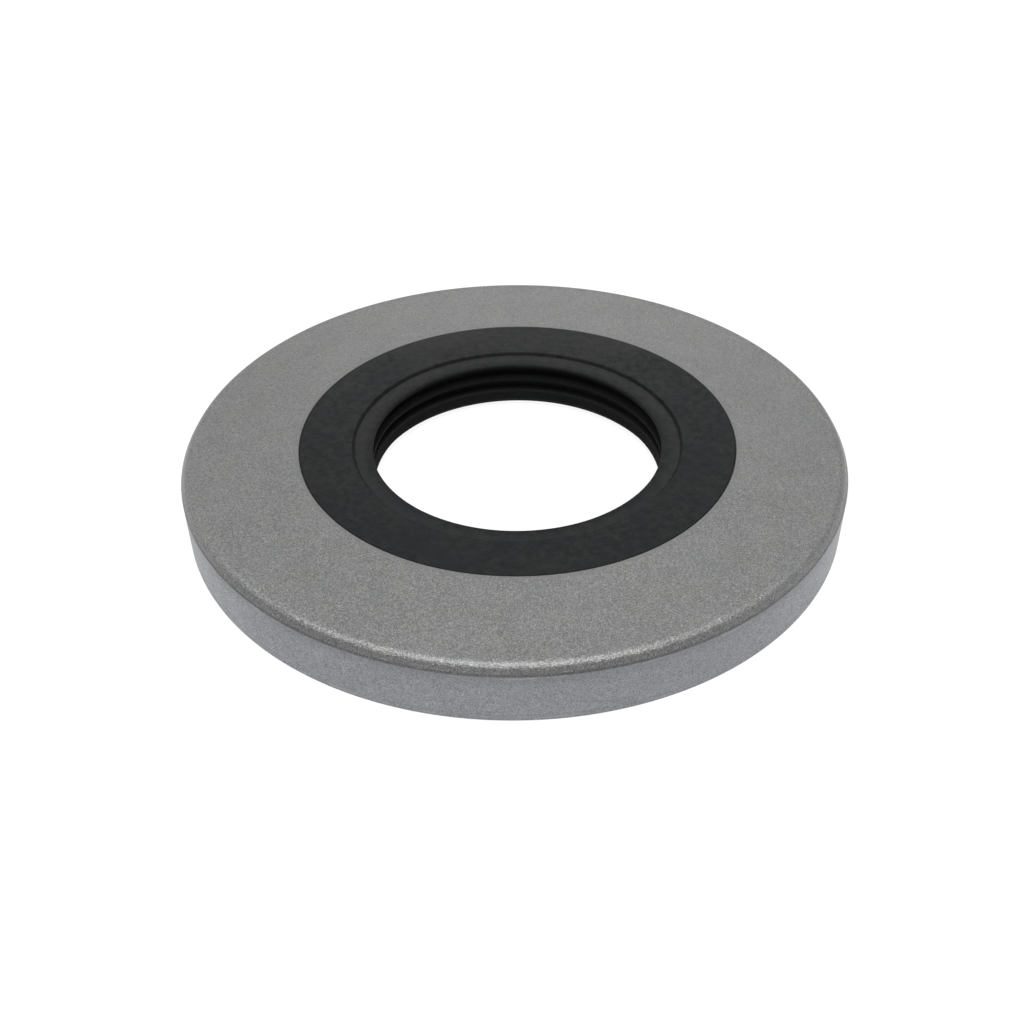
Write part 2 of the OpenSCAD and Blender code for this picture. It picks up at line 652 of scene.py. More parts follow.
@dataclass(frozen=True)
class RubberFinish:
    """Matt black nitrile rubber.

    Attributes:
        body: Colour of clean rubber.
        bloom: Its faint grey bloom.
        patch: Broader patches of bloom.
        cool: Bluish patches.
        mark: Rubbed marks around the step down to the ring.
        dust_and_sheen: Dusty patches with painted sheen, lighter towards the back, and painted light on
            the ring towards its step.
        lowered: Painted shade in the lips and their recesses, towards the opening.
        inside: Painted shade deep inside the opening.
        painted_lip_highlight: Painted highlight on the cone of the main lip.
        edge: Dark outer edge of the rubber.
        painted_crease_shade: Painted shade at the foot of the step.
        mottle: Mottle of the moulded skin.
        cloud: Noise of the broader patches.
        hue: Noise of the bluish patches.
        grain: Fine grain.
        turned: Marks that run around the axis.
        broken: Where these marks break off.
        skin_depth: Depth of the mottle and the marks in metres.
        grain_depth: Depth of the grain in metres.
        relief: How much of both shows.
        roughness: Roughness of clean rubber.
        specular: Strength of its gloss.
        sheen: Strength of its dusty sheen.
        sheen_roughness: Roughness of that sheen.
    """

    body: Colour = (0.0056, 0.0062, 0.0072)
    bloom: Tint = Tint(GREY_BLOOM_AND_HIGHLIGHT, 1.0, (0.34, 0.68))
    patch: Tint = Tint(GREY_BLOOM_AND_HIGHLIGHT, 0.4, (0.45, 0.70))
    cool: Tint = Tint((0.0075, 0.0085, 0.0108), 0.6, (0.45, 0.62))
    mark: Tint = Tint(WORN_GREY_AND_SHEEN, 0.4, (0.52, 0.66))
    # Dusty patches with painted sheen towards the back, and painted light on the ring.
    dust_and_sheen: Tint = Tint(WORN_GREY_AND_SHEEN)
    # Painted shade towards the opening.
    lowered: Tint = Tint(DEEP_BLACK, 0.4)
    # Painted shade inside the opening.
    inside: Tint = Tint(DEEP_BLACK, 0.75)
    # Painted highlight on the main lip's cone.
    painted_lip_highlight: Tint = Tint(GREY_BLOOM_AND_HIGHLIGHT, 0.6)
    edge: Tint = Tint(DEEP_BLACK, 0.8)
    # Painted shade at the foot of the step.
    painted_crease_shade: Tint = Tint(DEEP_BLACK, 0.35)
    mottle: Noise = Noise(1.0 * MM, detail=5.0, rough=0.7)
    cloud: Noise = Noise(7.0 * MM, seed=4.0)
    hue: Noise = Noise(4.0 * MM, detail=1.0, seed=5.0)
    grain: Noise = Noise(0.22 * MM, seed=8.0)
    turned: Noise = Noise(0.16 * MM, seed=6.0)
    broken: Noise = Noise(6.0 * MM, seed=9.0)
    skin_depth: float = 0.08 * MM
    grain_depth: float = 0.03 * MM
    relief: float = 0.8
    roughness: float = 0.64
    specular: float = 0.12
    sheen: float = 0.03
    sheen_roughness: float = 0.45

    def material(self, rubber: "RubberLips") -> bpy.types.Material:
        """Build the finish on the rubber."""
        return RubberSkin(self, rubber).material()


class RubberSkin:
    """The network that lays the rubber's finish on the rubber."""

    def __init__(self, finish: RubberFinish, rubber: "RubberLips") -> None:
        """Work out what the colour and the relief share.

        Args:
            finish: The finish.
            rubber: The rubber, for the places of its ring and its edges.
        """
        marks_in, marks_out, marks_soft = 0.5 * MM, 0.7 * MM, 0.5 * MM
        self.finish, self.rubber = finish, rubber
        self.net = net = Network(bpy.data.materials.new("nitrile rubber"))
        self.at = at = net.point()
        self.radius = radius = at.radius(rubber.case.moulding)
        self.mottle = net.noise(at.place, finish.mottle)
        self.cloud = net.noise(at.place, finish.cloud)
        self.grain = net.noise(at.place, finish.grain)
        self.turned = net.noise(net.join(radius, 0.0, at.z), finish.turned)
        step = rubber.ring_radius
        self.around_step = net.band(radius, step - marks_in, step + marks_out, marks_soft)

    def material(self) -> bpy.types.Material:
        """Build the material.

        Returns:
            The material.
        """
        riser_in, riser_out, riser_soft = 0.22 * MM, 0.05 * MM, 0.06 * MM
        rim_start, rim_full = 0.10 * MM, 0.30 * MM
        grain_gloss, mottle_gloss, dull_gloss = 0.06, 0.10, 0.34
        mottle_share, turned_share = 0.7, 0.3
        finish, net, rim_z, step = self.finish, self.net, self.rubber.rim_z, self.rubber.ring_radius
        riser = net.band(self.radius, step - riser_in, step + riser_out, riser_soft)
        rim = self.at.z.step(rim_z - rim_start, rim_z - rim_full)
        dull = net.math("MAXIMUM", riser, rim)
        gloss = self.grain * grain_gloss - self.mottle * mottle_gloss + dull * dull_gloss
        skin = self.mottle * mottle_share + self.turned * turned_share * self.around_step
        normal = net.bump(skin, finish.skin_depth, finish.relief)
        return net.surface(
            {
                "Base Color": self.painted_shade_and_highlight(self.painted_sheen_and_dust(self.clean())),
                "Roughness": finish.roughness + gloss,
                "Specular IOR Level": finish.specular,
                "Sheen Weight": finish.sheen,
                "Sheen Roughness": finish.sheen_roughness,
                "Normal": net.bump(self.grain, finish.grain_depth, finish.relief, under=normal),
            }
        )

    def clean(self) -> Signal:
        """Colour the clean rubber with its bloom and patches.

        Returns:
            The colour.
        """
        finish = self.finish
        colour = finish.bloom.clouded(finish.body, self.mottle)
        colour = finish.patch.clouded(colour, self.cloud)
        return finish.cool.clouded(colour, self.net.noise(self.at.place, finish.hue))

    def painted_sheen_and_dust(self, colour: Signal) -> Signal:
        """Draw the rubbed marks, and dusty patches with painted sheen: lighter towards the back, and
        painted light on the ring near its step.

        Args:
            colour: The colour so far.

        Returns:
            The colour.
        """
        far_start, far_full = -18 * MM, 20 * MM
        back_start, back_full = 16 * MM, 24 * MM
        ring_edge, ring_start, ring_full = 0.3 * MM, 2.0 * MM, 0.5 * MM
        breaks, sheen_span = (0.45, 0.6), (0.35, 0.65)
        even_back_sheen, mottle_sheen, cloud_sheen = 0.10, 0.36, 0.24
        far_ring_sheen, ring_painted_light, painted_back_sheen = 0.15, 0.25, 0.35
        finish, y, radius, step = self.finish, self.at.y, self.radius, self.rubber.ring_radius
        broken = self.net.noise(self.at.place, finish.broken).step(*breaks)
        ring = radius.step(step, step - ring_edge)
        ring_outside = radius.step(step - ring_start, step - ring_full)
        patches = self.mottle.step(*finish.bloom.span) * mottle_sheen + self.cloud.step(*sheen_span) * cloud_sheen
        # Painted sheen, lighter towards the back and broken into dusty patches.
        far = y.step(far_start, far_full) * (patches + ring * far_ring_sheen + even_back_sheen)
        # More painted sheen at the far back.
        back = y.step(back_start, back_full) * painted_back_sheen
        # With painted light on the ring near its step.
        dust_and_sheen = far + back + ring * ring_outside * ring_painted_light
        colour = finish.mark.clouded(colour, self.turned, self.around_step * broken)
        return finish.dust_and_sheen.laid(colour, dust_and_sheen)

    def painted_shade_and_highlight(self, colour: Signal) -> Signal:
        """Paint shade into the opening and at the foot of the step, a painted highlight on the cone of the
        main lip, and the dark outer edge.

        Args:
            colour: The colour so far.

        Returns:
            The colour.
        """
        cone_low, cone_high, cone_soft = 1.03 * MM, 1.29 * MM, 0.10 * MM
        crease_in, crease_out, crease_soft = 0.22 * MM, 0.10 * MM, 0.05 * MM
        lips_start, lips_full = 1.1 * MM, 0.1 * MM
        edge_start, edge_full = 0.22 * MM, 0.06 * MM
        rubber, radius, z = self.rubber, self.radius, self.at.z
        rim_start, rim_full = rubber.rim * 0.6, rubber.rim * 1.2
        finish, net, lips, outer = self.finish, self.net, rubber.lip_radius, rubber.case.face_radius
        rim_z, main_z, step = rubber.rim_z, rubber.main_z, rubber.ring_radius
        inside = z.step(rim_z - rim_start, rim_z - rim_full)
        cone = net.band(z, main_z + cone_low, main_z + cone_high, cone_soft)
        painted_crease_shade = net.band(radius, step - crease_in, step - crease_out, crease_soft)
        # Painted shade on the lips and recesses towards the opening.
        colour = finish.lowered.laid(colour, radius.step(lips + lips_start, lips + lips_full))
        # Painted shade deep inside the opening.
        colour = finish.inside.laid(colour, inside)
        # Painted highlight on the cone of the main lip.
        colour = finish.painted_lip_highlight.laid(colour, inside * cone)
        colour = finish.edge.laid(colour, radius.step(outer - edge_start, outer - edge_full))
        # Painted shade at the foot of the step.
        return finish.painted_crease_shade.laid(colour, painted_crease_shade)


@dataclass(frozen=True)
class WireFinish:
    """Bright drawn spring wire.

    Attributes:
        wire: Colour of the wire.
        dull: Its duller stretches.
        stretch: Noise of these stretches.
        drawn: Fine marks of drawing.
        marks: Depth of these marks in metres.
        relief: How much of them shows.
        roughness: Roughness of the bright wire.
        dulling: How much rougher the duller stretches are.
    """

    wire: Colour = (0.48, 0.475, 0.46)
    dull: Tint = Tint((0.26, 0.255, 0.245), 0.6, (0.4, 0.7))
    stretch: Noise = Noise(1.8 * MM, detail=3.0)
    drawn: Noise = Noise(0.12 * MM, seed=5.0)
    marks: float = 0.006 * MM
    relief: float = 0.5
    roughness: float = 0.24
    dulling: float = 0.2

    def material(self) -> bpy.types.Material:
        """Build the finish.

        Returns:
            The material.
        """
        net = Network(bpy.data.materials.new("drawn spring wire"))
        at = net.point()
        stretch = net.noise(at.place, self.stretch)
        return net.surface(
            {
                "Base Color": self.dull.clouded(self.wire, stretch),
                "Metallic": 1.0,
                "Roughness": self.roughness + stretch * self.dulling,
                "Normal": net.bump(net.noise(at.place, self.drawn), self.marks, self.relief),
            }
        )


# Surfaces

LONGEST_REACH = 0.44     # of an edge, that one arc may take up
PAD = 0.06 * MM          # from an arc to the next point
PAD_SHARE = 0.04         # of an edge, that this may take up at most


def rounded(corners: np.ndarray, radii: np.ndarray, steps: int) -> np.ndarray:
    """Round every corner of a closed outline.

    At a corner P with unit directions a and b to its neighbours and half angle h, the
    arc has its centre at P + R / sin h times the unit bisector, and starts and ends at
    P + a R / tan h and P + b R / tan h. Its points turn evenly from one end to the
    other. One more point on each side, on the straight edge, keeps the shading flat.
    Where an edge is too short for its arcs, their radii shrink.

    Args:
        corners: Corner points, one row each.
        radii: Radius of each corner.
        steps: Number of chords in each arc.

    Returns:
        The points of the rounded outline, one row each.
    """
    to_last = np.roll(corners, 1, axis=0) - corners
    to_next = np.roll(corners, -1, axis=0) - corners
    far = np.minimum(np.linalg.norm(to_last, axis=1), np.linalg.norm(to_next, axis=1))
    a = to_last / np.linalg.norm(to_last, axis=1)[:, None]
    b = to_next / np.linalg.norm(to_next, axis=1)[:, None]
    half = 0.5 * np.arccos(np.clip((a * b).sum(axis=1), -1.0, 1.0))
    reach = np.minimum(radii / np.tan(half), LONGEST_REACH * far)
    radii = reach * np.tan(half)
    bisector = (a + b) / np.linalg.norm(a + b, axis=1)[:, None]
    centre = corners + bisector * (radii / np.sin(half))[:, None]
    start = corners + a * reach[:, None] - centre
    end = corners + b * reach[:, None] - centre
    turn = (math.pi - 2 * half)[:, None, None]
    s = np.linspace(0.0, 1.0, steps + 1)[None, :, None]
    arc = (np.sin((1 - s) * turn) * start[:, None] + np.sin(s * turn) * end[:, None]) / np.sin(turn)
    pad = np.minimum(PAD, PAD_SHARE * far)
    before = corners + a * (reach + pad)[:, None]
    after = corners + b * (reach + pad)[:, None]
    points = np.concatenate([before[:, None], centre[:, None] + arc, after[:, None]], axis=1)
    return points.reshape(-1, 2)


def grid_mesh(name: str, points: np.ndarray) -> bpy.types.Object:
    """Make a smooth object from a grid of points that closes on itself both ways.

    Args:
        name: Name of the piece.
        points: Points, with the first two axes running around the grid.

    Returns:
        The object, at the origin.
    """
    rows, columns = points.shape[:2]
    i, j = np.meshgrid(np.arange(rows), np.arange(columns), indexing="ij")
    up, on = (i + 1) % rows, (j + 1) % columns
    quads = np.stack([i * columns + j, i * columns + on, up * columns + on, up * columns + j], axis=-1)
    mesh = bpy.data.meshes.new(name)
    mesh.from_pydata(points.reshape(-1, 3), [], quads.reshape(-1, 4))
    mesh.polygons.foreach_set("use_smooth", np.ones(rows * columns, dtype=bool))
    mesh.update()
    piece = bpy.data.objects.new(name, mesh)
    bpy.context.collection.objects.link(piece)
    return piece


def revolved(name: str, outline: np.ndarray, segments: int, relief: np.ndarray) -> bpy.types.Object:
    """Carry an outline around the Z axis.

    A point (r, z) of the outline goes to (r cos t, r sin t, z) at each angle t. The
    outline runs against the clock in the plane of r and z, so the faces point outwards.

    Args:
        name: Name of the piece.
        outline: Points (r, z) of the closed outline.
        segments: Number of steps around the axis.
        relief: Small shifts of r and z, for each outline point and each angle.

    Returns:
        The object.
    """
    t = np.linspace(0.0, 2 * math.pi, segments, endpoint=False)[None, :]
    r = outline[:, :1] + relief[..., 0]
    z = outline[:, 1:] + relief[..., 1]
    points = np.stack([r * np.cos(t), r * np.sin(t), z + 0 * t], axis=-1)
    return grid_mesh(name, points.transpose(1, 0, 2)[:, ::-1])


# Sub-assemblies


@dataclass
class SteelCase:
    """Pressed steel cup with a ground wall and a stepped inner edge.

    Attributes:
        radius: Outer radius.
        height: Height over all.
        face_radius: Where the rubber starts in the flat face.
        inner_radius: Inner edge of the steel, inside the rubber.
        sheet: Thickness of the steel.
        bend: Outside radius of the bend as pressed.
        ground_off: Steel ground off the wall.
        foot_bevel: Bevel around the foot.
        cover: Depth of the pressed step under the rubber.
        step_angle: Slope of that step in radians.
        moulding: How far the step and the rubber lie off the case's axis, along X and Y.
        waves: Lobes, share and phase of each slight wave of the flat face.
        wave_depth: Depth of these waves.
        segments: Steps around the axis.
        finish: Its finish.
    """

    radius: float
    height: float
    face_radius: float
    inner_radius: float
    sheet: float = 1.2 * MM
    bend: float = 2.2 * MM
    ground_off: float = 0.33 * MM
    foot_bevel: float = 0.15 * MM
    cover: float = 0.9 * MM
    step_angle: float = math.radians(60)
    moulding: Pair = (0.36 * MM, 0.10 * MM)
    waves: tuple[tuple[int, float, float], ...] = ((3, 1.0, 0.6), (5, 0.7, 2.1), (8, 0.5, 4.0))
    wave_depth: float = 0.012 * MM
    segments: int = 480
    finish: CaseFinish = CaseFinish()

    @property
    def bend_start(self) -> float:
        """Return the radius where the flat face starts to bend."""
        return self.radius + self.ground_off - self.bend

    @property
    def bend_tilt(self) -> float:
        """Return how far the bend has turned where the ground wall cuts it."""
        return math.asin((self.bend - self.ground_off) / self.bend)

    @property
    def ground_top(self) -> float:
        """Return the height of the sharp line at the top of the ground wall."""
        return self.height - self.bend * (1 - math.cos(self.bend_tilt))

    def off_centre(self, t: np.ndarray) -> np.ndarray:
        """Work out how far a circle about the moulding's centre lies from one about the axis.

        Args:
            t: Angles about the axis.

        Returns:
            The distances along the radius, x cos t + y sin t for a centre at (x, y).
        """
        return self.moulding[0] * np.cos(t) + self.moulding[1] * np.sin(t)

    @property
    def step_run(self) -> float:
        """Return the width of the pressed step."""
        return self.cover / math.tan(self.step_angle)

    def outline(self) -> np.ndarray:
        """Work out the half section with its rounded corners, against the clock.

        Returns:
            Points (r, z) of the outline, one row each.
        """
        wall_inside = self.radius + self.ground_off - self.sheet
        shift = self.sheet * math.tan(self.step_angle / 2)
        low_r = self.face_radius - self.step_run
        low_z = self.height - self.cover
        crown_r = self.bend_start + self.bend * math.tan(self.bend_tilt / 2)
        sharp, edge, soft = 0.05 * MM, 0.07 * MM, 0.12 * MM
        step_foot, step_top = 0.35 * MM, 0.25 * MM
        crown = self.bend - 0.1 * MM
        corners = (
            (self.radius, self.foot_bevel, sharp),
            (self.radius, self.ground_top, sharp),
            (crown_r, self.height, crown),
            (self.face_radius, self.height, edge),
            (low_r, low_z, soft),
            (self.inner_radius, low_z, sharp),
            (self.inner_radius, low_z - self.sheet, sharp),
            (low_r + shift, low_z - self.sheet, step_foot),
            (self.face_radius + shift, self.height - self.sheet, step_top),
            (wall_inside, self.height - self.sheet, self.bend - self.sheet),
            (wall_inside, 0.0, soft),
            (self.radius - self.foot_bevel, 0.0, sharp),
        )
        table = np.array(corners)
        return rounded(table[:, :2], table[:, 2], steps=9)

    def relief(self, outline: np.ndarray) -> np.ndarray:
        """Work out the slight waves of the flat face, and the shift of its inner edge.

        The height falls by a sum of cosines of the angle, weighted by how far the
        point is from both edges of the face, and never rises. The shift off centre
        fades out from the pressed step to the bend.

        Args:
            outline: Points (r, z) of the section.

        Returns:
            Shifts of r and z for each point and angle.
        """
        t = np.linspace(0.0, 2 * math.pi, self.segments, endpoint=False)[None, :]
        r = outline[:, :1]
        span = (r - self.face_radius) / (self.bend_start - self.face_radius)
        weight = np.clip(np.sin(math.pi * np.clip(span, 0, 1)), 0, 1)
        whole = sum(share for _, share, _ in self.waves)
        wave = sum(share * np.cos(lobes * t + phase) for lobes, share, phase in self.waves) / whole
        dip = self.wave_depth * weight * (wave - 1)
        inward = np.clip((self.bend_start - r) / (self.bend_start - self.face_radius - self.sheet), 0, 1)
        return np.stack([inward * self.off_centre(t), dip], axis=-1)

    def build(self) -> bpy.types.Object:
        """Build and dress the case.

        Returns:
            The piece.
        """
        outline = self.outline()
        piece = revolved("pressed_case", outline, self.segments, self.relief(outline))
        return dress(piece, self.finish.material(self), Node.CASE)


@dataclass
class RubberLips:
    """Rubber ring moulded onto the steel, with two dust lips and the main lip.

    Attributes:
        case: The case that carries it.
        spring: The spring that lies in its groove.
        lip_radius: Radius of the free lips.
        foot: Height of its lowest face.
        recess: Depth of the recesses between the lips.
        face_dish: How far the black face falls from the steel to the step.
        ring_drop: Depth of the lowered ring below the steel.
        ring_dish: How far the ring falls towards the opening.
        ring_width: Width of the ring.
        ring_draft: Slope of the step down to it, off upright, in radians.
        rim: Rounding of the rim of the opening.
        rim_inset: How far the upper lip reaches past the others.
        land: Height of the upright face below that rounding.
        tip: Height of the upright face of the main lip.
        bead: Height of the face of the middle lip.
        pitch: Height from the middle lip to the upper one.
        lip_under: Height of the slope under a lip.
        lip_over: Height of the slope over a lip.
        cone_height: Height of the cone above the main lip.
        cone_angle: Slope of that cone, off upright, in radians.
        nose: Width of the slope under the main lip.
        nose_rise: Height of that slope.
        neck: Thickness of the neck above the spring.
        neck_fillet: Fillet between the neck and the ring under the steel.
        under: Thickness of the rubber under the steel.
        under_width: Width of that rubber.
        groove_gap: Clearance between the spring and its groove.
        hook: How far the groove's lower lip reaches past the middle of the spring.
        hook_height: Rubber above the groove.
        hook_bevel: Bevel on that lip.
        wave_height: How far the lips run out of true.
        segments: Steps around the axis.
        finish: Its finish.
    """

    case: SteelCase
    spring: "GarterSpring"
    lip_radius: float
    foot: float
    recess: float = 1.0 * MM
    face_dish: float = 0.32 * MM
    ring_drop: float = 0.69 * MM
    ring_dish: float = 0.10 * MM
    ring_width: float = 2.22 * MM
    ring_draft: float = math.radians(15)
    rim: float = 0.30 * MM
    rim_inset: float = 0.10 * MM
    land: float = 0.22 * MM
    tip: float = 0.26 * MM
    bead: float = 0.36 * MM
    pitch: float = 1.95 * MM
    lip_under: float = 0.4 * MM
    lip_over: float = 0.4 * MM
    cone_height: float = 1.05 * MM
    cone_angle: float = math.radians(13)
    nose: float = 0.6 * MM
    nose_rise: float = 0.70 * MM
    neck: float = 1.1 * MM
    neck_fillet: float = 0.5 * MM
    under: float = 0.6 * MM
    under_width: float = 2.9 * MM
    groove_gap: float = 0.02 * MM
    hook: float = 0.2 * MM
    hook_height: float = 0.25 * MM
    hook_bevel: float = 0.2 * MM
    wave_height: float = 0.02 * MM
    segments: int = 400
    finish: RubberFinish = RubberFinish()

    @property
    def ring_z(self) -> float:
        """Return the height of the lowered ring, at its outer edge."""
        return self.case.height - self.ring_drop

    @property
    def rim_z(self) -> float:
        """Return the height of the rim of the shaft opening."""
        return self.ring_z - self.ring_dish

    @property
    def ring_radius(self) -> float:
        """Return the radius of the step down to the lowered ring."""
        return self.lip_radius + self.ring_width

    @property
    def main_z(self) -> float:
        """Return the height of the edge of the main lip."""
        return self.foot + self.nose_rise

    def outline(self) -> np.ndarray:
        """Work out the half section with its rounded corners, against the clock.

        Returns:
            Points (r, z) of the outline, one row each.
        """
        case, spring = self.case, self.spring
        root = self.lip_radius + self.recess
        ring_r = self.ring_radius
        dished_z = case.height - self.face_dish
        ring_in = ring_r - (dished_z - self.ring_z) * math.tan(self.ring_draft)
        top_z = self.rim_z - self.rim - self.land
        rounding = self.rim / 2
        rim_r = self.lip_radius - self.rim_inset
        mid_z = top_z - self.pitch
        cone_z = self.main_z + self.tip + self.cone_height
        cone_r = self.lip_radius + self.cone_height * math.tan(self.cone_angle)
        groove = spring.coil_radius + self.groove_gap
        mouth = math.sqrt(groove**2 - self.hook**2)
        hook_r = spring.radius + self.hook
        groove_r = spring.radius - groove
        low_r = case.face_radius - case.step_run
        low_z = case.height - case.cover
        under_z = low_z - case.sheet - self.under
        under_r = case.inner_radius + self.under_width
        knife, tip, edge, soft = 0.03 * MM, 0.09 * MM, 0.07 * MM, 0.15 * MM
        step_top, step_foot = 0.24 * MM, 0.06 * MM
        bead_top, bead_foot = 0.16 * MM, 0.14 * MM
        cone_edge, hook_root, groove_round = 0.05 * MM, 0.2 * MM, 0.92 * groove
        corners = (
            (case.face_radius, case.height, edge),
            (ring_r, dished_z, step_top),
            (ring_in, self.ring_z, step_foot),
            (rim_r + rounding, self.rim_z, self.rim),
            (rim_r, self.rim_z - rounding, self.rim),
            (rim_r, top_z, tip),
            (root, top_z - self.lip_under, soft),
            (root, mid_z + self.bead + self.lip_over, soft),
            (self.lip_radius, mid_z + self.bead, bead_top),
            (self.lip_radius, mid_z, bead_foot),
            (root, mid_z - self.lip_under, soft),
            (root, cone_z + self.lip_over / 2, soft),
            (cone_r, cone_z, cone_edge),
            (self.lip_radius, self.main_z + self.tip, tip),
            (self.lip_radius, self.main_z, tip),
            (self.lip_radius + self.nose, self.foot, edge),
            (hook_r - self.hook_bevel, self.foot, edge),
            (hook_r, self.foot + self.hook_bevel, edge),
            (hook_r, spring.height - mouth, knife),
            (groove_r, spring.height - groove, groove_round),
            (groove_r, spring.height + groove, groove_round),
            (hook_r, spring.height + mouth, knife),
            (hook_r, spring.height + groove + self.hook_height, soft),
            (root + self.neck, under_z - self.neck_fillet, hook_root),
            (root + self.neck, under_z, self.neck_fillet),
            (under_r - self.under / 2, under_z, soft),
            (under_r, low_z - case.sheet, knife),
            (case.inner_radius, low_z - case.sheet, knife),
            (case.inner_radius, low_z, knife),
            (low_r, low_z, knife),
        )
        table = np.array(corners)
        return rounded(table[:, :2], table[:, 2], steps=5)

    def relief(self, outline: np.ndarray) -> np.ndarray:
        """Work out how the lips run slightly out of true, and the shift off centre.

        The radius grows by a small sum of cosines of the angle, whose phase turns with
        the height, so that each lip runs on its own. It fades out away from the lips.
        The shift off centre fades out below the steel, and outwards from the lips to
        the groove, so that the spring keeps its place.

        Args:
            outline: Points (r, z) of the section.

        Returns:
            Shifts of r and z for each point and angle.
        """
        t = np.linspace(0.0, 2 * math.pi, self.segments, endpoint=False)[None, :]
        r, z = outline[:, :1], outline[:, 1:]
        near_lips = np.clip(1 - (r - self.lip_radius) / self.recess, 0, 1)
        phase = z / MM
        slow = (1 + np.cos(4 * t + phase)) / 2
        quick = (1 + np.cos(11 * t + 2 * phase)) / 2
        out = self.wave_height * near_lips * (slow + 0.4 * quick)
        steel_z = self.case.height - self.case.cover - self.case.sheet
        hook_z = self.spring.height + self.spring.coil_radius + self.hook_height
        above = np.clip((z - hook_z) / (steel_z - hook_z), 0, 1)
        groove_r = self.spring.radius - self.spring.coil_radius - self.groove_gap
        fade = 0.6 * (groove_r - self.lip_radius)
        inward = np.clip((groove_r - r) / fade, 0, 1)
        out = out + np.maximum(above, inward) * self.case.off_centre(t)
        return np.stack([out, 0 * out], axis=-1)

    def build(self) -> bpy.types.Object:
        """Build and dress the rubber.

        Returns:
            The piece.
        """
        outline = self.outline()
        piece = revolved("moulded_lips", outline, self.segments, self.relief(outline))
        return dress(piece, self.finish.material(self), Node.RUBBER)


@dataclass
class GarterSpring:
    """Close-wound wire joined into a ring.

    Attributes:
        radius: Radius of the ring, at the middle of the coils.
        height: Height of the ring.
        coil_radius: Outside radius of the coils.
        wire: Diameter of the wire.
        spacing: Pitch of the coils along the inside of the ring, in wire diameters.
        per_turn: Steps along each coil.
        sides: Steps around the wire.
        finish: Its finish.
    """

    radius: float
    height: float
    coil_radius: float
    wire: float = 0.40 * MM
    spacing: float = 1.04
    per_turn: int = 14
    sides: int = 7
    finish: WireFinish = WireFinish()

    def build(self) -> bpy.types.Object:
        """Build and dress the spring.

        The middle of the wire runs at an angle t around the axis and w = n t around
        the ring: r = R + c cos w, z = h + c sin w, with c the coils' middle radius.
        Around it, the wire's skin is spanned by the normal (cos w, sin w) in the plane
        of r and z and by the binormal, the cross product of tangent and normal.

        Returns:
            The piece.
        """
        turns = int(2 * math.pi * (self.radius - self.coil_radius) / (self.wire * self.spacing))
        c = self.coil_radius - self.wire / 2
        t = np.linspace(0.0, 2 * math.pi, turns * self.per_turn, endpoint=False)
        w = turns * t
        out = np.stack([np.cos(t), np.sin(t), 0 * t], axis=-1)
        on = np.stack([-np.sin(t), np.cos(t), 0 * t], axis=-1)
        up = np.array([0.0, 0.0, 1.0])
        normal = np.cos(w)[:, None] * out + np.sin(w)[:, None] * up
        middle = self.radius * out + self.height * up + c * normal
        across = -np.sin(w)[:, None] * out + np.cos(w)[:, None] * up
        tangent = (self.radius + c * np.cos(w))[:, None] * on + (c * turns) * across
        tangent /= np.linalg.norm(tangent, axis=1)[:, None]
        binormal = np.cross(tangent, normal)
        s = np.linspace(0.0, 2 * math.pi, self.sides, endpoint=False)[None, :, None]
        skin = np.cos(s) * normal[:, None] + np.sin(s) * binormal[:, None]
        points = middle[:, None] + self.wire / 2 * skin
        piece = grid_mesh("wound_spring", points[:, ::-1])
        return dress(piece, self.finish.material(), Node.SPRING)


def dress(
    piece: bpy.types.Object, material: bpy.types.Material, node: Node
) -> bpy.types.Object:
    """Give a piece its material and its place in the frame.

    Args:
        piece: The piece.
        material: Its material.
        node: The solid that it stands for.

    Returns:
        The piece.
    """
    piece.data.materials.append(material)
    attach(piece, BODY)
    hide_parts(node.value)
    return piece


# Studio


@dataclass(frozen=True)
class Lamp:
    """A soft rectangular lamp that faces the seal.

    Attributes:
        name: Its name.
        place: Its place in metres.
        size: Its width and height in metres.
        power: Its power in watts.
    """

    name: str
    place: tuple[float, float, float]
    size: Pair
    power: float

    def hang(self) -> bpy.types.Object:
        """Hang the lamp.

        Returns:
            The lamp.
        """
        data = bpy.data.lights.new(self.name, "AREA")
        data.shape = "RECTANGLE"
        data.size, data.size_y = self.size
        data.energy = self.power
        lamp = bpy.data.objects.new(self.name, data)
        turn = Vector(self.place).to_track_quat("Z", "Y").to_matrix().to_4x4()
        lamp.matrix_world = Matrix.Translation(Vector(self.place)) @ turn
        lamp.visible_camera = False
        bpy.context.collection.objects.link(lamp)
        return lamp


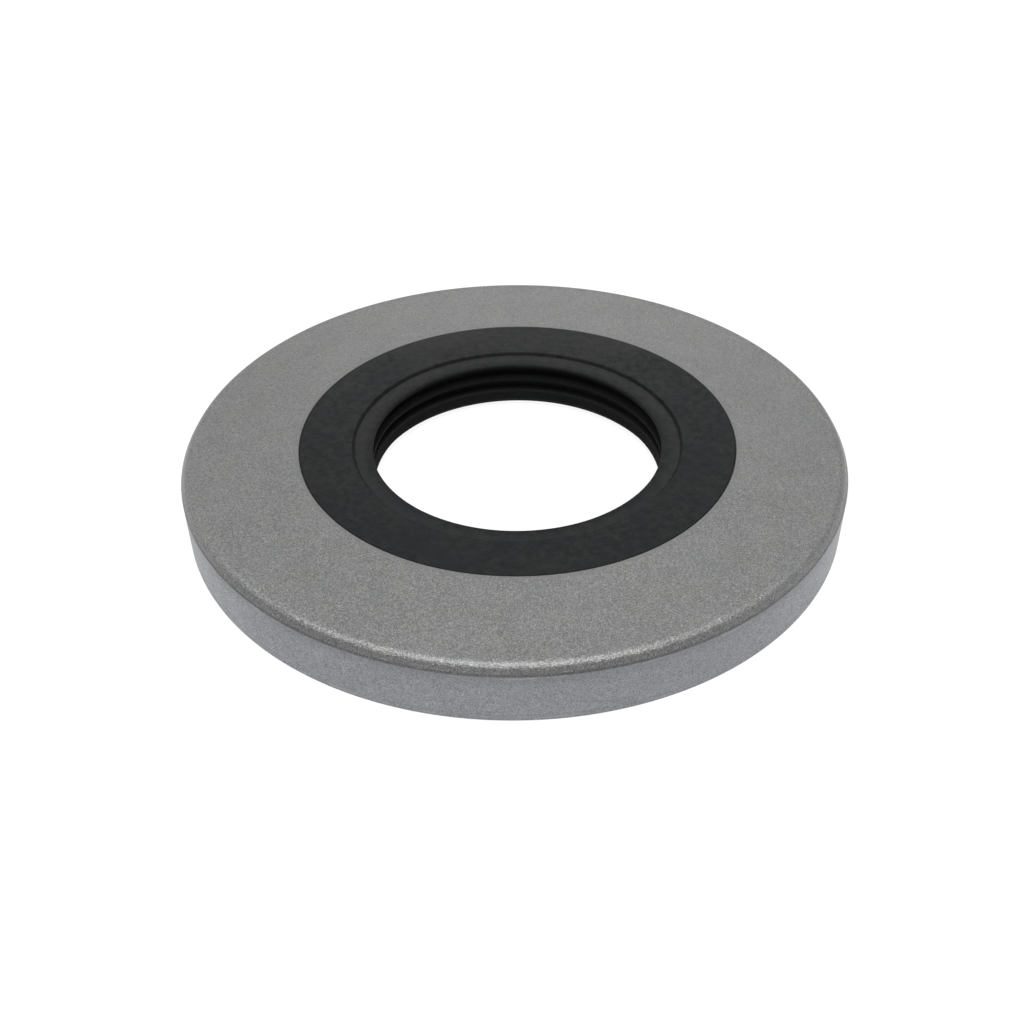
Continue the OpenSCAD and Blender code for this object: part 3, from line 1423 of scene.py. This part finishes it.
@dataclass(frozen=True)
class Studio:
    """Pale floor, soft lamps and the camera at the photograph's angle.

    Attributes:
        eye: Place of the camera, in outer radii from the middle of the flat face.
        pitch: How far the camera looks down, in radians.
        roll: How far it is turned about its view, in radians.
        focal: Focal length in pixels.
        image: Width of the image in pixels.
        sensor: Width of the camera's sensor in millimetres.
        floor_half: Half the width of the floor in metres.
        floor_matt: Colour of the floor as it sends light back.
        floor_white: Brightness of its glow where it is seen.
        floor_glow: Share of that glow there; the rest keeps the seal's shadow.
        mirrored_white: Brightness of the background in mirrored rays; the camera sees 1.
        sky: Strength of the background as a light.
        dim_side: Direction of the studio's unlit side, behind the camera.
        dim_span: Cosines to that direction between which the background dims.
        dimming: How much dimmer mirrored rays see that side.
        lamps: A large lamp overhead, one behind, one at the left and a weak one in front.
    """

    eye: tuple[float, float, float] = (-0.0088, -3.0654, 2.0921)
    pitch: float = math.radians(37.97)
    roll: float = math.radians(-0.58)
    focal: float = 1213.1
    image: int = 1024
    sensor: float = 36.0
    floor_half: float = 2.0
    floor_matt: Colour = (0.8, 0.8, 0.8)
    floor_white: float = 1.11
    floor_glow: float = 0.82
    mirrored_white: float = 0.80
    sky: float = 0.20
    dim_side: tuple[float, float, float] = (-0.25, -0.82, 0.5)
    dim_span: Pair = (-0.15, 0.60)
    dimming: float = 0.62
    lamps: tuple[Lamp, ...] = (
        Lamp("overhead", (0.0, -0.19, 0.775), (0.90, 0.60), 7.8),
        Lamp("back", (0.05, 0.85, 0.42), (0.50, 0.30), 0.45),
        Lamp("left", (-0.74, 0.22, 0.61), (0.5, 0.4), 0.9),
        Lamp("front_fill", (-0.35, -0.75, 0.45), (0.6, 0.6), 0.3),
    )

    def camera(self, case: SteelCase) -> bpy.types.Object:
        """Place the camera.

        Args:
            case: The case, whose face and radius give the camera's place.

        Returns:
            The camera.
        """
        data = bpy.data.cameras.new("camera")
        data.sensor_width = self.sensor
        data.lens = self.focal * self.sensor / self.image
        data.clip_start = 1 * MM
        ahead = Vector((0, math.cos(self.pitch), -math.sin(self.pitch)))
        right = Vector((1, 0, 0))
        up = right.cross(ahead)
        side = math.cos(self.roll) * right + math.sin(self.roll) * up
        top = math.cos(self.roll) * up - math.sin(self.roll) * right
        turn = Matrix((side, top, -ahead)).transposed().to_4x4()
        place = Vector(self.eye) * case.radius + Vector((0, 0, case.height))
        camera = bpy.data.objects.new("camera", data)
        camera.matrix_world = Matrix.Translation(place) @ turn
        bpy.context.collection.objects.link(camera)
        bpy.context.scene.camera = camera
        return camera

    def seen(self, net: Network) -> Signal:
        """Return 1 for a ray that shows the background: straight, mirrored or through glass.

        Args:
            net: The network that the rays reach.

        Returns:
            The test.
        """
        straight = net.node("ShaderNodeLightPath", output="Is Camera Ray")
        shown = straight + straight.beside("Is Glossy Ray") + straight.beside("Is Transmission Ray")
        return net.math("MINIMUM", shown, 1.0)

    def floor(self) -> bpy.types.Object:
        """Lay the floor, white where it is seen and pale where it sends light back.

        Returns:
            The floor.
        """
        half = self.floor_half
        mesh = bpy.data.meshes.new("floor")
        corners = [(-half, -half, 0), (half, -half, 0), (half, half, 0), (-half, half, 0)]
        mesh.from_pydata(corners, [], [(0, 1, 2, 3)])
        floor = bpy.data.objects.new("floor", mesh)
        bpy.context.collection.objects.link(floor)
        net = Network(bpy.data.materials.new("pale floor"))
        matt = net.node("ShaderNodeBsdfDiffuse", inputs={"Color": opaque(self.floor_matt)})
        glow = net.node("ShaderNodeEmission", inputs={"Strength": self.floor_white})
        factor = self.seen(net) * self.floor_glow
        mixed = net.node("ShaderNodeMixShader", inputs={0: factor, 1: matt, 2: glow})
        net.node("ShaderNodeOutputMaterial", inputs={"Surface": mixed})
        mesh.materials.append(net.owner)
        return floor

    def world(self) -> bpy.types.World:
        """Make the background white where it is seen, and a soft light elsewhere.

        Mirrored rays see it dimmer, and most towards the unlit side, by the cosine
        between their direction and the direction of that side.

        Returns:
            The world.
        """
        world = bpy.data.worlds.new("studio")
        bpy.context.scene.world = world
        net = Network(world)
        x, y, z = net.split(net.node("ShaderNodeTexCoord", output="Generated"))
        side = x * self.dim_side[0] + y * self.dim_side[1] + z * self.dim_side[2]
        bright = (1 - side.step(*self.dim_span) * self.dimming) * self.mirrored_white
        mirrored = net.node("ShaderNodeLightPath", output="Is Glossy Ray")
        seen = self.seen(net)
        level = seen * (1 - mirrored * (1 - bright)) + (1 - seen) * self.sky
        inputs = {"Color": (1.0, 1.0, 1.0, 1.0), "Strength": level}
        background = net.node("ShaderNodeBackground", inputs=inputs)
        net.node("ShaderNodeOutputWorld", inputs={"Surface": background})
        return world

    def build(self, case: SteelCase) -> None:
        """Place the camera, lay the floor, and light the studio.

        Args:
            case: The case.
        """
        self.camera(case)
        self.floor()
        self.world()
        for lamp in self.lamps:
            lamp.hang()


def main() -> None:
    """Build the seal and its studio."""
    edge_depth = 2.7 * MM    # of the steel's inner edge, behind the free lips
    logging.basicConfig(level=logging.INFO, format="%(name)s: %(message)s")
    _, case_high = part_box(Node.CASE.value)
    rubber_low, rubber_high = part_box(Node.RUBBER.value)
    spring_low, spring_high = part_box(Node.SPRING.value)
    coil_radius = (spring_high.z - spring_low.z) / 2
    bore = next(m for m in frame["record"]["mounts"] if m["name"] == "shaft_bore")
    lip_radius = bore["dims"]["r_mm"] * MM

    case = SteelCase(
        radius=case_high.x,
        height=case_high.z,
        face_radius=rubber_high.x,
        inner_radius=lip_radius + edge_depth,
    )
    spring = GarterSpring(
        radius=spring_high.x - coil_radius,
        height=(spring_high.z + spring_low.z) / 2,
        coil_radius=coil_radius,
    )
    rubber = RubberLips(case=case, spring=spring, lip_radius=lip_radius, foot=rubber_low.z)
    for part in (case, rubber, spring):
        piece = part.build()
        log.info("%s: %d faces", piece.name, len(piece.data.polygons))

    Studio().build(case)
    bpy.context.scene.view_settings.view_transform = "Standard"


if __name__ == "__main__":
    main()
